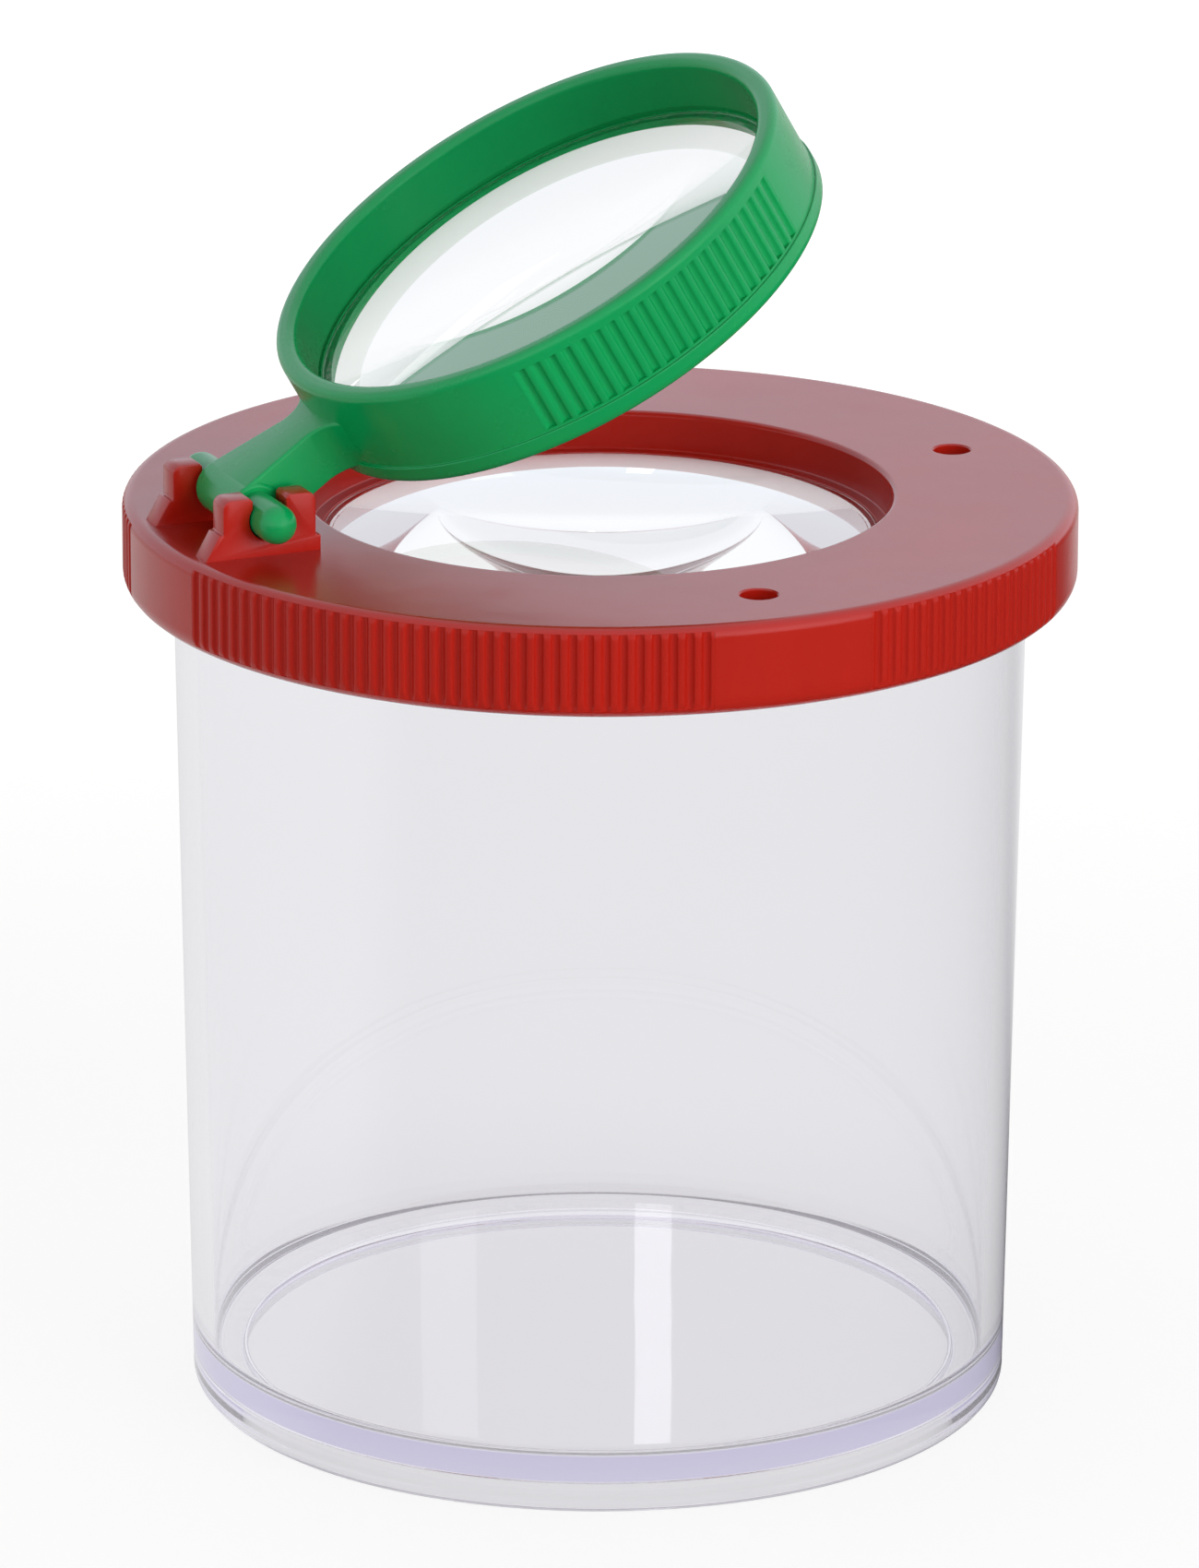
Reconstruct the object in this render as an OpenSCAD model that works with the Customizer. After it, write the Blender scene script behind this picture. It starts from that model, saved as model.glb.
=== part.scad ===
// Bug catcher jar: a clear cup with a lift-off lid. The lid holds a lens, has air holes round it,
// and carries a second, stronger magnifier that snaps into two clevis brackets and flips up.
// The origin is on the table at the jar's axis, Z is up, and X runs from the hinge across the lid.
// The magnifier is drawn closed, flat over the lid's lens, and is then turned open about its pin.

/* [Jar] */
// Height from the table to the top face of the lid
total_h = 70.5; // [55:0.5:95]
// Outer radius of the jar wall at its foot
foot_r = 31.15; // [30.2:0.05:31.6]
// Outer radius of the jar wall just under the lid
neck_r = 32.2; // [31.8:0.05:33]
// Thickness of the jar wall
jar_wall = 1.55; // [1.2:0.05:2]
// Thickness of the jar floor
floor_t = 2.4; // [1.6:0.1:3.2]
// Height of the foot ring under the floor
foot_h = 1.7; // [1:0.1:2.4]
// Width of the foot ring
foot_w = 3.85; // [3:0.05:5]
// Rounding of the outer edge of the foot
foot_round = 1.2; // [0.6:0.1:1.5]
// Fillet between the floor and the wall, inside
floor_fillet = 1.2; // [0.6:0.1:2]
// Height of the rim that the lid grips
rim_h = 2.6; // [2:0.1:3]
// How far the rim stands out from the wall
rim_out = 1.65; // [1.2:0.05:2]
// Rounding of the rim's edges
rim_round = 0.5; // [0.3:0.05:0.7]

/* [Lid] */
// Height of the lid's outer side
lid_h = 6.95; // [6.2:0.05:8]
// Thickness of the lid's top plate
plate_t = 2.0; // [1.6:0.1:2.4]
// Thickness of the lid's skirt
skirt_t = 2.0; // [1.6:0.1:2.6]
// Running gap between the skirt and the jar's rim
lid_fit = 0.15; // [0.1:0.05:0.3]
// Gap between the jar's rim and the underside of the lid
seat_gap = 0.1; // [0.05:0.05:0.2]
// Rounding of the lid's top edge
lid_round = 0.9; // [0.5:0.1:1.2]
// Rounding of the skirt's lower edge
skirt_round = 1.5; // [0.8:0.1:1.6]
// Radius of the air holes
air_r = 1.4; // [1:0.1:1.6]
// Wall left between the air holes and the jar's inner side
air_inset = 0.05; // [0:0.05:0.4]

/* [Lens in the lid] */
// Radius of the round recess over the lens
recess_r = 22.0; // [20.5:0.1:22.6]
// Depth of that recess
recess_d = 3.0; // [2.6:0.1:3.4]
// Width of the ledge round the lens
ledge_w = 1.0; // [0.6:0.1:1.4]
// Thickness of the lens at its edge
lid_lens_t = 1.2; // [1:0.1:1.6]
// Rise of the lens's upper face
lid_lens_top = 2.8; // [1.6:0.1:3]
// Drop of the lens's lower face
lid_lens_low = 4.2; // [3:0.1:4.4]
// Rounding of the recess's upper edge
hole_round = 0.4; // [0.2:0.05:0.6]
// Wall round the lens's pocket
collar_t = 2.2; // [2:0.1:2.6]
// Height of the lip that the lens rests on
lip_h = 0.8; // [0.6:0.1:1.2]
// Width of that lip
lip_w = 0.9; // [0.6:0.1:1.2]
// Gap round each lens in its pocket
lens_fit = 0.05; // [0.03:0.01:0.1]

/* [Magnifier] */
// Angle that the magnifier stands open
open_angle = 30; // [10:1:80]
// Gap between the closed ring and the wall of the recess
ring_gap = 0.8; // [0.5:0.1:1.2]
// Height of the magnifier's ring
ring_h = 8.1; // [7:0.1:9.5]
// How deep the closed ring sits in the recess
ring_sink = 0.4; // [0.2:0.1:0.8]
// How far the ring's foot flange stands out
flange_out = 0.2; // [0.2:0.05:0.5]
// Height of that flange
flange_h = 1.5; // [1:0.1:2]
// Rounding of the flange's upper edge
flange_round = 0.15; // [0.05:0.05:0.2]
// Thickness of the ring's wall at the lip
ring_wall = 1.65; // [1.5:0.05:1.8]
// Rounding of the ring's edges
ring_round = 0.65; // [0.3:0.05:0.7]
// Thickness of the magnifier's lens at its edge
mag_lens_t = 1.5; // [1.2:0.1:2]
// Rise of its upper face, over a flat lower face
mag_lens_top = 3.0; // [2.4:0.1:3.6]
// Height of the lip under the lens
ring_lip_h = 2.1; // [1.7:0.1:2.4]
// Width of the lip under the lens
ring_lip_w = 1.1; // [0.8:0.1:1.4]
// Depth of the snap groove over the lens
snap_d = 0.3; // [0.2:0.05:0.4]
// Height of the snap groove over the lens
snap_h = 0.4; // [0.3:0.05:0.6]

/* [Hinge] */
// Distance from the edge of the recess to the hinge axis
hinge_set = 7.2; // [6.6:0.1:7.6]
// Height of the hinge axis over the lid
hinge_z = 2.75; // [2.6:0.05:3.2]
// Radius of the cross pin
pin_r = 1.5; // [1.2:0.05:1.6]
// Running gap between the pin and its snap slot
pin_gap = 0.08; // [0.05:0.01:0.12]
// Half length of the pin, up to its domed ends
pin_reach = 7.5; // [7:0.1:8.5]
// Radius of the arm's rounded end
barrel_r = 2.05; // [1.9:0.05:2.3]
// Half width of the arm at the hinge
arm_w = 3.7; // [3.3:0.1:4]
// Half width of the arm at the ring
arm_neck_w = 2.45; // [2:0.05:3]
// Fillet where the arm meets the ring
arm_fillet = 2.4; // [1.5:0.1:3]
// Side gap between the arm and each bracket
arm_gap = 0.3; // [0.2:0.05:0.5]
// Thickness of each bracket along the pin
bracket_t = 2.2; // [1.8:0.1:2.6]
// Thickness of each prong
prong_t = 2.1; // [1.7:0.1:2.3]
// Height of the prongs over the lid
prong_h = 4.5; // [4.2:0.1:5]
// Rounding of the prong tips
prong_round = 0.7; // [0.4:0.1:0.8]
// Half width of the slot's mouth, a little less than the pin's radius
mouth_w = 1.3; // [1.05:0.05:1.35]
// How far the slot's mouth opens out at the tips
mouth_flare = 0.25; // [0.1:0.05:0.35]
// Step of the bracket's base beyond the inner prong
base_step = 0.4; // [0.2:0.1:0.8]
// Reach of the gusset outside the outer prong
gusset_w = 1.4; // [1:0.1:1.6]
// Height of that gusset
gusset_h = 1.9; // [1.4:0.1:2.4]
// Width of the gusset's flat top
gusset_top = 0.3; // [0.2:0.1:0.6]

/* [Grip] */
// Spacing of the grip grooves
groove_pitch = 1.2; // [1.1:0.05:1.6]
// Radius of each groove
groove_r = 0.36; // [0.34:0.02:0.46]
// Depth of each groove
groove_d = 0.32; // [0.2:0.02:0.34]
// Plain band above the lid's grooves
lid_band_top = 0.4; // [0.3:0.1:1]
// Plain band under the lid's grooves
lid_band_low = 0.7; // [0.5:0.1:1.2]
// Plain band above the ring's grooves
ring_band_top = 1.1; // [0.8:0.1:1.6]
// Plain band between the ring's foot flange and its grooves
ring_band_low = 0.2; // [0.1:0.05:0.5]

/* [Hidden] */

// Number of sides of a turned piece, a groove or hole, a pin, a fillet and a lens's long arcs
fn_turn = 180;
fn_small = 32;
fn_pin = 64;
fn_fillet = 128;
fn_arc = 1440;
// Overrun of every cut
cut = 0.5;
// How far a joined piece is sunk into the one that carries it
weld = 0.5;

// Directions of the three air holes; the hinge takes the fourth place
air_angles = [0, 90, 270];
// Stretches of the lid's skirt that have grooves; the hinge is at 180 degrees
lid_spans = [[43, 80], [100, 170], [190, 260], [280, 317]];
// Stretches of the ring that have grooves
ring_spans = [[48, 120], [240, 312]];

// Derived heights and radii of the jar and the lid
skirt_z = total_h - lid_h;
plate_z = total_h - plate_t;
floor_z = foot_h + floor_t;
rim_top = plate_z - seat_gap;
rim_r = neck_r + rim_out;
skirt_in_r = rim_r + lid_fit;
lid_r = skirt_in_r + skirt_t;
jar_in_r = neck_r - jar_wall;
floor_in_r = foot_r - jar_wall;
air_place_r = jar_in_r - air_r - air_inset;

// Derived places of the lens in the lid
pocket_r = recess_r - ledge_w;
lid_lens_r = pocket_r - lens_fit;
lid_lens_z = total_h - recess_d;
collar_r = pocket_r + collar_t;
collar_z = lid_lens_z - lid_lens_t - lip_h;

// Derived places of the magnifier, drawn closed over the lid
hinge_x = -recess_r - hinge_set;
axis_z = total_h + hinge_z;
flange_r = recess_r - ring_gap;
ring_r = flange_r - flange_out;
ring_z = total_h - ring_sink;
ring_in_r = ring_r - ring_wall;
mag_lens_r = ring_in_r - lens_fit;
mag_lens_z = ring_z + ring_lip_h + mag_lens_t;

// Derived places of the hinge
slot_r = pin_r + pin_gap;
bracket_y = arm_w + arm_gap;
prong_x = slot_r + prong_t;

// Radius of the sphere whose cap has edge radius a and height s
function cap_r(a, s) = (a * a + s * s) / (2 * s);

// Directions of the grooves over one stretch of a circle of radius r
function groove_angles(span, r) =
    let (n = floor((span[1] - span[0]) * PI * r / 180 / groove_pitch), step = (span[1] - span[0]) / n)
    [for (i = [0 : n - 1]) span[0] + (i + 0.5) * step];

// Takes the corner of a flat profile at p off to radius r; side gives the two ways out of the solid
module round_off(p, r, side) {
    translate(p) difference() {
        translate([side[0] > 0 ? -r : -cut, side[1] > 0 ? -r : -cut]) square(r + cut);
        translate([-side[0] * r, -side[1] * r]) circle(r, $fn = fn_fillet);
    }
}

// Fills an inner corner of a flat profile at p with a fillet of radius r; side gives the open quarter
module fill_in(p, r, side) {
    translate(p) difference() {
        translate([side[0] > 0 ? 0 : -r, side[1] > 0 ? 0 : -r]) square(r);
        translate([side[0] * r, side[1] * r]) circle(r, $fn = fn_fillet);
    }
}

// Lens with its upper edge at height z, edge radius r and edge thickness t; its lower face is flat,
// or it drops inside a flat land that rests on the lip
module lens(r, t, z, rise, drop = 0, land = 0) {
    top_r = cap_r(r, rise);
    rotate_extrude($fn = fn_turn) {
        intersection() {
            translate([0, z - t]) square([r, t + rise]);
            translate([0, z + rise - top_r]) circle(top_r, $fn = fn_arc);
        }
        if (drop > 0) lens_belly(r - land, z - t, drop);
    }
}

// Half section of a lens's lower face, from radius r at height z
module lens_belly(r, z, drop) {
    low_r = cap_r(r, drop);
    intersection() {
        translate([0, z - drop]) square([r, drop + weld]);
        translate([0, z - drop + low_r]) circle(low_r, $fn = fn_arc);
    }
}

// Ring of upright grooves cut into a round side of radius r between two heights
module grooves(spans, r, z0, z1) {
    for (span = spans, a = groove_angles(span, r))
        rotate([0, 0, a]) translate([r + groove_r - groove_d, 0, z0])
            cylinder(r = groove_r, h = z1 - z0, $fn = fn_small);
}

// Jar

module jar_profile() {
    difference() {
        polygon([
            [0, 0], [foot_r, 0], [foot_r, foot_round], [neck_r, rim_top - rim_h - rim_out],
            [rim_r, rim_top - rim_h], [rim_r, rim_top], [0, rim_top]
        ]);
        polygon([
            [0, floor_z], [floor_in_r, floor_z], [floor_in_r, floor_z + floor_fillet],
            [jar_in_r, rim_top - rim_h], [jar_in_r, rim_top + cut], [0, rim_top + cut]
        ]);
        translate([0, -cut]) square([foot_r - foot_w, foot_h + cut]);
        round_off([foot_r, 0], foot_round, [1, -1]);
        round_off([rim_r, rim_top], rim_round, [1, 1]);
        round_off([jar_in_r, rim_top], rim_round, [-1, 1]);
    }
    fill_in([floor_in_r, floor_z], floor_fillet, [-1, 1]);
}

module jar() {
    color([0.9, 0.9, 0.95, 0.35]) rotate_extrude($fn = fn_turn) jar_profile();
}

// Lid

module lid_profile() {
    difference() {
        union() {
            translate([0, plate_z]) square([lid_r, plate_t]);
            translate([skirt_in_r, skirt_z]) square([skirt_t, lid_h]);
            translate([0, collar_z]) square([collar_r, total_h - collar_z]);
        }
        translate([0, lid_lens_z]) square([recess_r, recess_d + cut]);
        translate([0, lid_lens_z - lid_lens_t]) square([pocket_r, lid_lens_t + cut]);
        translate([0, collar_z - cut]) square([pocket_r - lip_w, lip_h + 2 * cut]);
        round_off([lid_r, total_h], lid_round, [1, 1]);
        round_off([lid_r, skirt_z], skirt_round, [1, -1]);
        round_off([recess_r, total_h], hole_round, [-1, 1]);
    }
}

// Side view of one bracket, standing on the lid at the hinge axis
module bracket_profile() {
    base_h = hinge_z - slot_r;
    difference() {
        union() {
            translate([-prong_x, -weld]) square([2 * prong_x + base_step, base_h + weld]);
            difference() {
                translate([-prong_x, 0]) square([2 * prong_x, prong_h]);
                round_off([-prong_x, prong_h], prong_round, [-1, 1]);
                round_off([prong_x, prong_h], prong_round, [1, 1]);
            }
            polygon([
                [-prong_x, -weld], [-prong_x - gusset_w, -weld], [-prong_x - gusset_w, 0],
                [-prong_x - gusset_top, gusset_h], [-prong_x, gusset_h]
            ]);
        }
        translate([0, hinge_z]) circle(slot_r, $fn = fn_pin);
        translate([-mouth_w, hinge_z]) square([2 * mouth_w, prong_h]);
        translate([0, prong_h]) rotate(45) square((mouth_w + mouth_flare) * sqrt(2), center = true);
    }
}

module brackets() {
    for (side = [-1, 1])
        translate([hinge_x, side * (bracket_y + bracket_t / 2), total_h])
            rotate([90, 0, 0]) linear_extrude(bracket_t, center = true) bracket_profile();
}

module lid() {
    color([0.78, 0.1, 0.07]) difference() {
        union() {
            rotate_extrude($fn = fn_turn) lid_profile();
            brackets();
        }
        for (a = air_angles)
            rotate([0, 0, a]) translate([air_place_r, 0, plate_z - cut])
                cylinder(r = air_r, h = plate_t + 2 * cut, $fn = fn_small);
        grooves(lid_spans, lid_r, skirt_z + lid_band_low, total_h - lid_band_top);
    }
}

module lid_lens() {
    color([0.95, 0.95, 1, 0.4])
        lens(lid_lens_r, lid_lens_t, lid_lens_z, lid_lens_top, lid_lens_low, lip_w);
}

// Magnifier

// Turns the closed magnifier open about its pin
module opened() {
    translate([hinge_x, 0, axis_z]) rotate([0, -open_angle, 0]) translate([-hinge_x, 0, -axis_z]) children();
}

module ring_profile() {
    top = ring_z + ring_h;
    seat = ring_z + ring_lip_h;
    difference() {
        union() {
            translate([0, ring_z]) square([ring_r, ring_h]);
            translate([0, ring_z]) square([flange_r, flange_h]);
        }
        translate([0, seat]) square([ring_in_r, ring_h]);
        translate([0, ring_z - cut]) square([ring_in_r - ring_lip_w, ring_lip_h + 2 * cut]);
        translate([0, mag_lens_z]) square([ring_in_r + snap_d, snap_h]);
        round_off([ring_r, top], ring_round, [1, 1]);
        round_off([ring_in_r, top], ring_round, [-1, 1]);
        round_off([flange_r, ring_z], ring_round, [1, -1]);
        round_off([flange_r, ring_z + flange_h], flange_round, [1, 1]);
    }
}

// Plan of the arm, from the pin to the ring's wall, with a fillet on both sides
module arm_plan() {
    reach = ring_r + arm_fillet;
    centre_y = arm_neck_w + arm_fillet;
    centre_x = -sqrt(reach * reach - centre_y * centre_y);
    touch = [centre_x, centre_y] * ((ring_r - weld) / reach);
    difference() {
        union() {
            polygon([
                [hinge_x, -arm_w], [centre_x, -arm_neck_w], [-ring_in_r, -arm_neck_w],
                [-ring_in_r, arm_neck_w], [centre_x, arm_neck_w], [hinge_x, arm_w]
            ]);
            for (side = [-1, 1]) scale([1, side]) difference() {
                polygon([[centre_x, 0], [centre_x, arm_neck_w], touch, [touch[0], 0]]);
                translate([centre_x, centre_y]) circle(arm_fillet, $fn = fn_fillet);
            }
        }
        circle(ring_r - weld, $fn = fn_turn);
    }
}

module magnifier_ring() {
    color([0.05, 0.6, 0.32]) opened() {
        difference() {
            rotate_extrude($fn = fn_turn) ring_profile();
            grooves(ring_spans, ring_r, ring_z + flange_h + ring_band_low, ring_z + ring_h - ring_band_top);
        }
        translate([0, 0, axis_z - barrel_r]) linear_extrude(2 * barrel_r) arm_plan();
        translate([hinge_x, 0, axis_z]) rotate([90, 0, 0]) {
            cylinder(r = barrel_r, h = 2 * arm_w, center = true, $fn = fn_pin);
            cylinder(r = pin_r, h = 2 * pin_reach, center = true, $fn = fn_pin);
            for (side = [-1, 1]) translate([0, 0, side * pin_reach]) sphere(pin_r, $fn = fn_pin);
        }
    }
}

module magnifier_lens() {
    color([0.95, 0.95, 1, 0.4]) opened()
        lens(mag_lens_r, mag_lens_t, mag_lens_z, mag_lens_top);
}

jar();
lid();
lid_lens();
magnifier_ring();
magnifier_lens();
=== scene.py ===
"""Dresses the packed bug catcher jar: a clear cup, a red cap with a lens, and a green flip-up magnifier."""

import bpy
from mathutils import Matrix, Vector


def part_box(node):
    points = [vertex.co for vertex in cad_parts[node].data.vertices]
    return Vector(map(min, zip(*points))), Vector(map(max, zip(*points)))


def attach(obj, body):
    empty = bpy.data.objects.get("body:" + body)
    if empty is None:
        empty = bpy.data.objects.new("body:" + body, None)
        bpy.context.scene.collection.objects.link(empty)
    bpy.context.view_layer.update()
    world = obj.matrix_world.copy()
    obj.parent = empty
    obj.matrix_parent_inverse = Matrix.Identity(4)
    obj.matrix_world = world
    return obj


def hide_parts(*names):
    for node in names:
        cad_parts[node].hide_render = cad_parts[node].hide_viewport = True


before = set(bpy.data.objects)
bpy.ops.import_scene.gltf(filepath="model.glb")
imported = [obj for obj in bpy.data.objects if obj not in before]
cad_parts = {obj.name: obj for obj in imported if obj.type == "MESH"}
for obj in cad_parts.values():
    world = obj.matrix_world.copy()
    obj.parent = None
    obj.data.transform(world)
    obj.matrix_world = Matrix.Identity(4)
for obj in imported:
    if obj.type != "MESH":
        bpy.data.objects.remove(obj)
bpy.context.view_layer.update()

import math

import bmesh
import bpy
from bpy.props import FloatProperty, FloatVectorProperty, PointerProperty
from mathutils import Matrix, Vector

bl_info = {
    "name": "Bug catcher jar",
    "version": (1, 0, 0),
    "blender": (4, 5, 0),
    "location": "View3D > Sidebar > Bug Jar",
    "description": "Builds the finished pieces of a bug catcher jar round its packed model",
    "category": "Object",
}

MM = 0.001
JAR_LOW, JAR_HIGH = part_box("jar")
LID_LOW, LID_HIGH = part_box("lid")

# Stretches of the cap's side and of the ring that have grooves, in degrees; the hinge is at 180
CAP_SPANS = ((43, 80), (100, 170), (190, 260), (280, 317))
RING_SPANS = ((48, 120), (240, 312))
# Directions of the air holes, in degrees
AIR_ANGLES = (0, 90, 270)

# Refraction of the cup's plastic, how strongly it takes up light, and refraction of the lenses
CUP_IOR, CUP_DENSITY = 1.5, 28
LENS_IOR = 1.49
# Painted reflection: dark colour that a lens gives off as a glow where other pieces mirror it
LENS_PAINTED_REFLECTION = (0.1, 0.08, 0.08)
# Bounces inside clear plastic past which a ray shows a painted glow, in the colour of light caught in it
CAUGHT_BOUNCES = 3.5

# Angles past which two faces meet in a sharp edge, in degrees: turned, bevelled and grooved pieces
SHARP = 32
BEVEL_SHARP = 40
GROOVE_SHARP = 50
# Distances in metres under which two points become one: in any mesh, in a grooved band, between its cells
WELD = 2e-8
BAND_WELD = 2e-7
CELL_WELD = 2e-6
# Numbers of steps round turned pieces
CUP_STEPS = 360
GROOVED_STEPS = 288
TURN_STEPS = 240
BARREL_STEPS = 64
PIN_STEPS = 48
AIR_STEPS = 48
# Numbers of steps along a lens face, a snap slot, a pin's dome, an arm's fillet and a rounded corner
LENS_STEPS = 48
SLOT_STEPS = 28
DOME_STEPS = 9
FILLET_STEPS = 8
CORNER_STEPS = 6

# Share of the radius past which a point of an outline is on its outer side
OUTER_SHARE = 0.9
# Slack in metres for a point that lies on a height, on a level line, on the side and on its slope
ON_HEIGHT, ON_LEVEL, ON_SIDE, ON_SLOPE = 1e-9, 1e-12, 1e-7, 1e-6
# Where the points of a groove's arc and of the ridge beside it lie, as shares of their widths
GROOVE_SHARES = (0, 0.38, 0.7, 0.9, 1)
RIDGE_SHARES = (0.3, 0.65, 1)


def size(name, description, default):
    """A length in metres that a user can change, given here in millimetres."""
    return FloatProperty(name=name, description=description, default=default * MM, min=0, precision=5,
                         unit="LENGTH", subtype="DISTANCE")


def colour(name, description, default):
    """A colour that a user can change."""
    return FloatVectorProperty(name=name, description=description, default=default, min=0, max=1, size=3,
                               subtype="COLOR")


class CupSizes(bpy.types.PropertyGroup):
    """Sizes of the clear cup"""

    foot_r: size("Foot radius", "Outer radius of the wall at the foot", 31.15)
    neck_r: size("Neck radius", "Outer radius of the wall under the cap", 32.2)
    rim_r: size("Rim radius", "Outer radius of the rim that the cap grips", JAR_HIGH.x / MM)
    rim_top: size("Rim top", "Height of the rim's top face", JAR_HIGH.z / MM)
    wall: size("Wall", "Thickness of the wall", 1.55)
    floor_top: size("Floor top", "Height of the inside of the floor", 4.1)
    foot_h: size("Foot height", "Height of the hollow under the floor", 1.7)
    foot_w: size("Foot width", "Width of the ring that the cup stands on", 3.85)
    foot_round: size("Foot rounding", "Rounding of the foot's outer edge", 1.2)
    rim_h: size("Rim height", "Height of the rim", 2.6)
    rim_round: size("Rim rounding", "Rounding of the rim's edges", 0.5)


class CapSizes(bpy.types.PropertyGroup):
    """Sizes of the red cap"""

    outer_r: size("Cap radius", "Outer radius of the cap", LID_HIGH.x / MM)
    top: size("Cap top", "Height of the cap's top face", 70.5)
    low: size("Skirt low edge", "Height of the skirt's lower edge", LID_LOW.z / MM)
    plate_t: size("Plate", "Thickness of the top plate", 2.0)
    skirt_t: size("Skirt", "Thickness of the skirt", 2.0)
    top_round: size("Top rounding", "Rounding of the top edge", 0.9)
    low_round: size("Low rounding", "Rounding of the skirt's lower edge", 1.5)
    recess_r: size("Recess radius", "Radius of the recess over the lens", 22.0)
    recess_d: size("Recess depth", "Depth of that recess", 3.0)
    hole_round: size("Recess rounding", "Rounding of the recess's upper edge", 0.4)
    ledge_w: size("Ledge", "Width of the ledge round the lens", 1.0)
    lens_t: size("Lens edge", "Thickness of the lens at its edge", 1.2)
    lip_h: size("Lip height", "Height of the lip under the lens", 0.8)
    lip_w: size("Lip width", "Width of the lip under the lens", 0.9)
    collar_t: size("Collar", "Wall round the lens's pocket", 2.2)
    air_r: size("Air hole radius", "Radius of the air holes", 1.4)
    air_place: size("Air hole place", "Distance of the air holes from the axis", 29.2)


class MagnifierSizes(bpy.types.PropertyGroup):
    """Sizes of the green magnifier, closed over the cap"""

    flange_r: size("Flange radius", "Outer radius of the ring's foot flange", 21.2)
    flange_h: size("Flange height", "Height of that flange", 1.5)
    flange_round: size("Flange rounding", "Rounding of the flange's upper edge", 0.12)
    ring_r: size("Ring radius", "Outer radius of the ring", 21.0)
    ring_low: size("Ring low edge", "Height of the closed ring's lower edge", 70.1)
    ring_h: size("Ring height", "Height of the ring", 8.1)
    ring_wall: size("Ring wall", "Thickness of the ring's wall", 1.65)
    ring_round: size("Ring rounding", "Rounding of the ring's edges", 0.65)
    lip_h: size("Lip height", "Height of the lip under the lens", 2.1)
    lip_w: size("Lip width", "Width of the lip under the lens", 1.1)
    lens_t: size("Lens edge", "Thickness of the lens at its edge", 1.5)
    snap_d: size("Snap depth", "Depth of the snap groove over the lens", 0.3)
    snap_h: size("Snap height", "Height of that groove", 0.4)
    open_angle: FloatProperty(name="Opening", description="Angle that the magnifier stands open",
                              default=math.radians(30), subtype="ANGLE", unit="ROTATION")


class HingeSizes(bpy.types.PropertyGroup):
    """Sizes of the hinge"""

    x: size("Hinge distance", "Distance of the hinge axis from the cup's axis", 29.2)
    z: size("Hinge height", "Height of the hinge axis over the cap", 2.75)
    pin_r: size("Pin radius", "Radius of the cross pin", 1.5)
    pin_gap: size("Pin gap", "Running gap between the pin and its slot", 0.08)
    pin_reach: size("Pin reach", "Half length of the pin up to its domes", 7.5)
    barrel_r: size("Barrel radius", "Radius of the arm's rounded end", 2.05)
    arm_w: size("Arm width", "Half width of the arm at the hinge", 3.7)
    neck_w: size("Neck width", "Half width of the arm at the ring", 2.45)
    fillet: size("Arm fillet", "Fillet where the arm meets the ring", 2.4)
    arm_gap: size("Arm gap", "Side gap between the arm and a bracket", 0.3)
    bracket_t: size("Bracket", "Thickness of a bracket along the pin", 2.2)
    prong_t: size("Prong", "Thickness of a prong", 2.1)
    prong_h: size("Prong height", "Height of the prongs over the cap", 4.5)
    prong_round: size("Prong rounding", "Rounding of the prong tips", 0.7)
    mouth_w: size("Mouth", "Half width of the slot's mouth", 1.3)
    mouth_flare: size("Mouth flare", "How far the mouth opens out at the tips", 0.25)
    base_step: size("Base step", "Step of the base beyond the inner prong", 0.4)
    gusset_w: size("Gusset reach", "Reach of the gusset outside the outer prong", 1.4)
    gusset_h: size("Gusset height", "Height of the gusset", 1.9)
    gusset_top: size("Gusset top", "Width of the gusset's flat top", 0.3)
    edge: size("Edge", "Rounding of the small moulded edges", 0.14)


class GripSizes(bpy.types.PropertyGroup):
    """Sizes of the grip grooves"""

    pitch: size("Pitch", "Spacing of the grooves", 1.2)
    groove_r: size("Groove radius", "Radius of each groove", 0.36)
    groove_d: size("Groove depth", "Depth of each groove", 0.32)
    crown: size("Crown", "How far the ridges between the grooves fall off at their sides", 0.05)
    cap_top: size("Cap band top", "Plain band above the cap's grooves", 0.4)
    cap_low: size("Cap band low", "Plain band under the cap's grooves", 0.7)
    ring_top: size("Ring band top", "Plain band above the ring's grooves", 1.1)
    ring_low: size("Ring band low", "Plain band between the flange and the grooves", 0.2)
    bed: size("Bed", "How far the bed lies under the grooves", 0.04)


class LensSizes(bpy.types.PropertyGroup):
    """Sizes of the two lenses"""

    cap_rise: size("Cap lens rise", "Rise of the cap lens's upper face", 2.8)
    cap_drop: size("Cap lens drop", "Drop of the cap lens's lower face", 4.2)
    ring_rise: size("Magnifier rise", "Rise of the magnifier lens's upper face over its flat lower face", 3.0)
    fit: size("Fit", "Gap round each lens in its pocket", 0.05)
    edge: size("Edge", "Rounding of the lens's rims", 0.15)


class JarColours(bpy.types.PropertyGroup):
    """Colours of the plastics"""

    red: colour("Cap red", "Moulded plastic of the cap", (0.5, 0.014, 0.006))
    green: colour("Ring green", "Moulded plastic of the magnifier", (0.002, 0.38, 0.1))
    clear: colour("Clear tint", "Tint of the cup's surface", (0.975, 0.972, 0.985))
    clear_depth: colour("Clear depth", "Colour that thick clear plastic takes", (0.78, 0.765, 0.88))
    # The next three colours are painted glows, which the clear plastic and the lenses give off in place of
    # light caught in them
    clear_caught_glow: colour("Clear edge", "Colour of light caught in the clear plastic", (0.83, 0.81, 0.88))
    cap_lens_caught_glow: colour("Cap lens edge", "Colour of light caught in the cap's lens", (0.66, 0.63, 0.66))
    ring_lens_caught_glow: colour("Ring lens edge", "Colour of light caught in the magnifier's lens", (0.24, 0.38, 0.3))
    lens: colour("Lens tint", "Tint of the lenses", (0.99, 0.99, 0.995))
    floor: colour("Floor", "Studio floor", (0.8, 0.8, 0.8))


# Shader nodes written as expressions


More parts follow.
